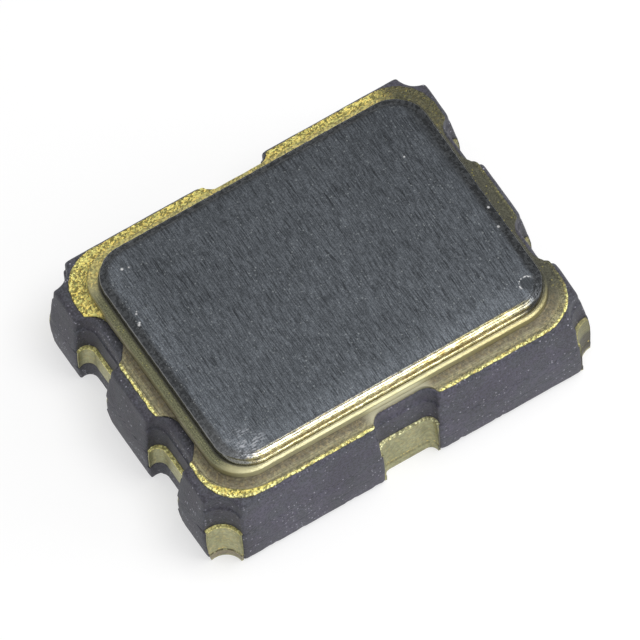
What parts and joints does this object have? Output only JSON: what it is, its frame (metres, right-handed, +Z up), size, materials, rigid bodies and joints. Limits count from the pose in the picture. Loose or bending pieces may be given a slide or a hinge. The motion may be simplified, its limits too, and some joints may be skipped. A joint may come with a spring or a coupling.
{
  "type": "crystal oscillator",
  "caption": "Low rectangular ceramic package with plated notches in its sides, a seal ring and a welded metal lid, holding a quartz blank over a flip-chip circuit.",
  "frame": {"origin": "middle of the footprint, on the plane of the solder pads", "axes": "+X along the long side, away from the corner-cut index pad, +Y along the short side, +Z up out of the board, through the lid"},
  "size_m": [0.0032, 0.0026, 0.0009],
  "materials": {
    "dark_ceramic": "matt fired alumina, dark, faintly grainy",
    "gold_plating": "matt gold over nickel and tungsten, grainy",
    "dull_gold": "dull gold plating on upright walls",
    "braze": "gold-plated silver braze, brownish",
    "lid_metal": "finely brushed nickel plating",
    "silicon": "polished silicon",
    "bump_gold": "soft gold",
    "quartz": "lapped quartz",
    "electrode_gold": "thin evaporated gold",
    "adhesive": "silver-filled adhesive"
  },
  "bodies": {
    "root": {"ceramic_base": "dark_ceramic", "corner_terminal_1": "gold_plating", "corner_terminal_2": "gold_plating", "corner_terminal_3": "gold_plating", "corner_terminal_4": "gold_plating", "middle_terminal_1": "gold_plating", "middle_terminal_2": "gold_plating", "side_contact_1": "gold_plating", "side_contact_2": "gold_plating", "side_contact_3": "gold_plating", "side_contact_4": "gold_plating", "seal_metallization": "gold_plating", "braze_joint": "braze", "seal_ring": "dull_gold", "lid": "lid_metal", "chip_lands": "gold_plating", "chip_bumps": "bump_gold", "circuit_chip": "silicon", "crystal_lands": "gold_plating", "crystal_adhesive": "adhesive", "quartz_blank": "quartz", "lower_electrode": "electrode_gold", "upper_electrode": "electrode_gold"}
  },
  "joints": []
}
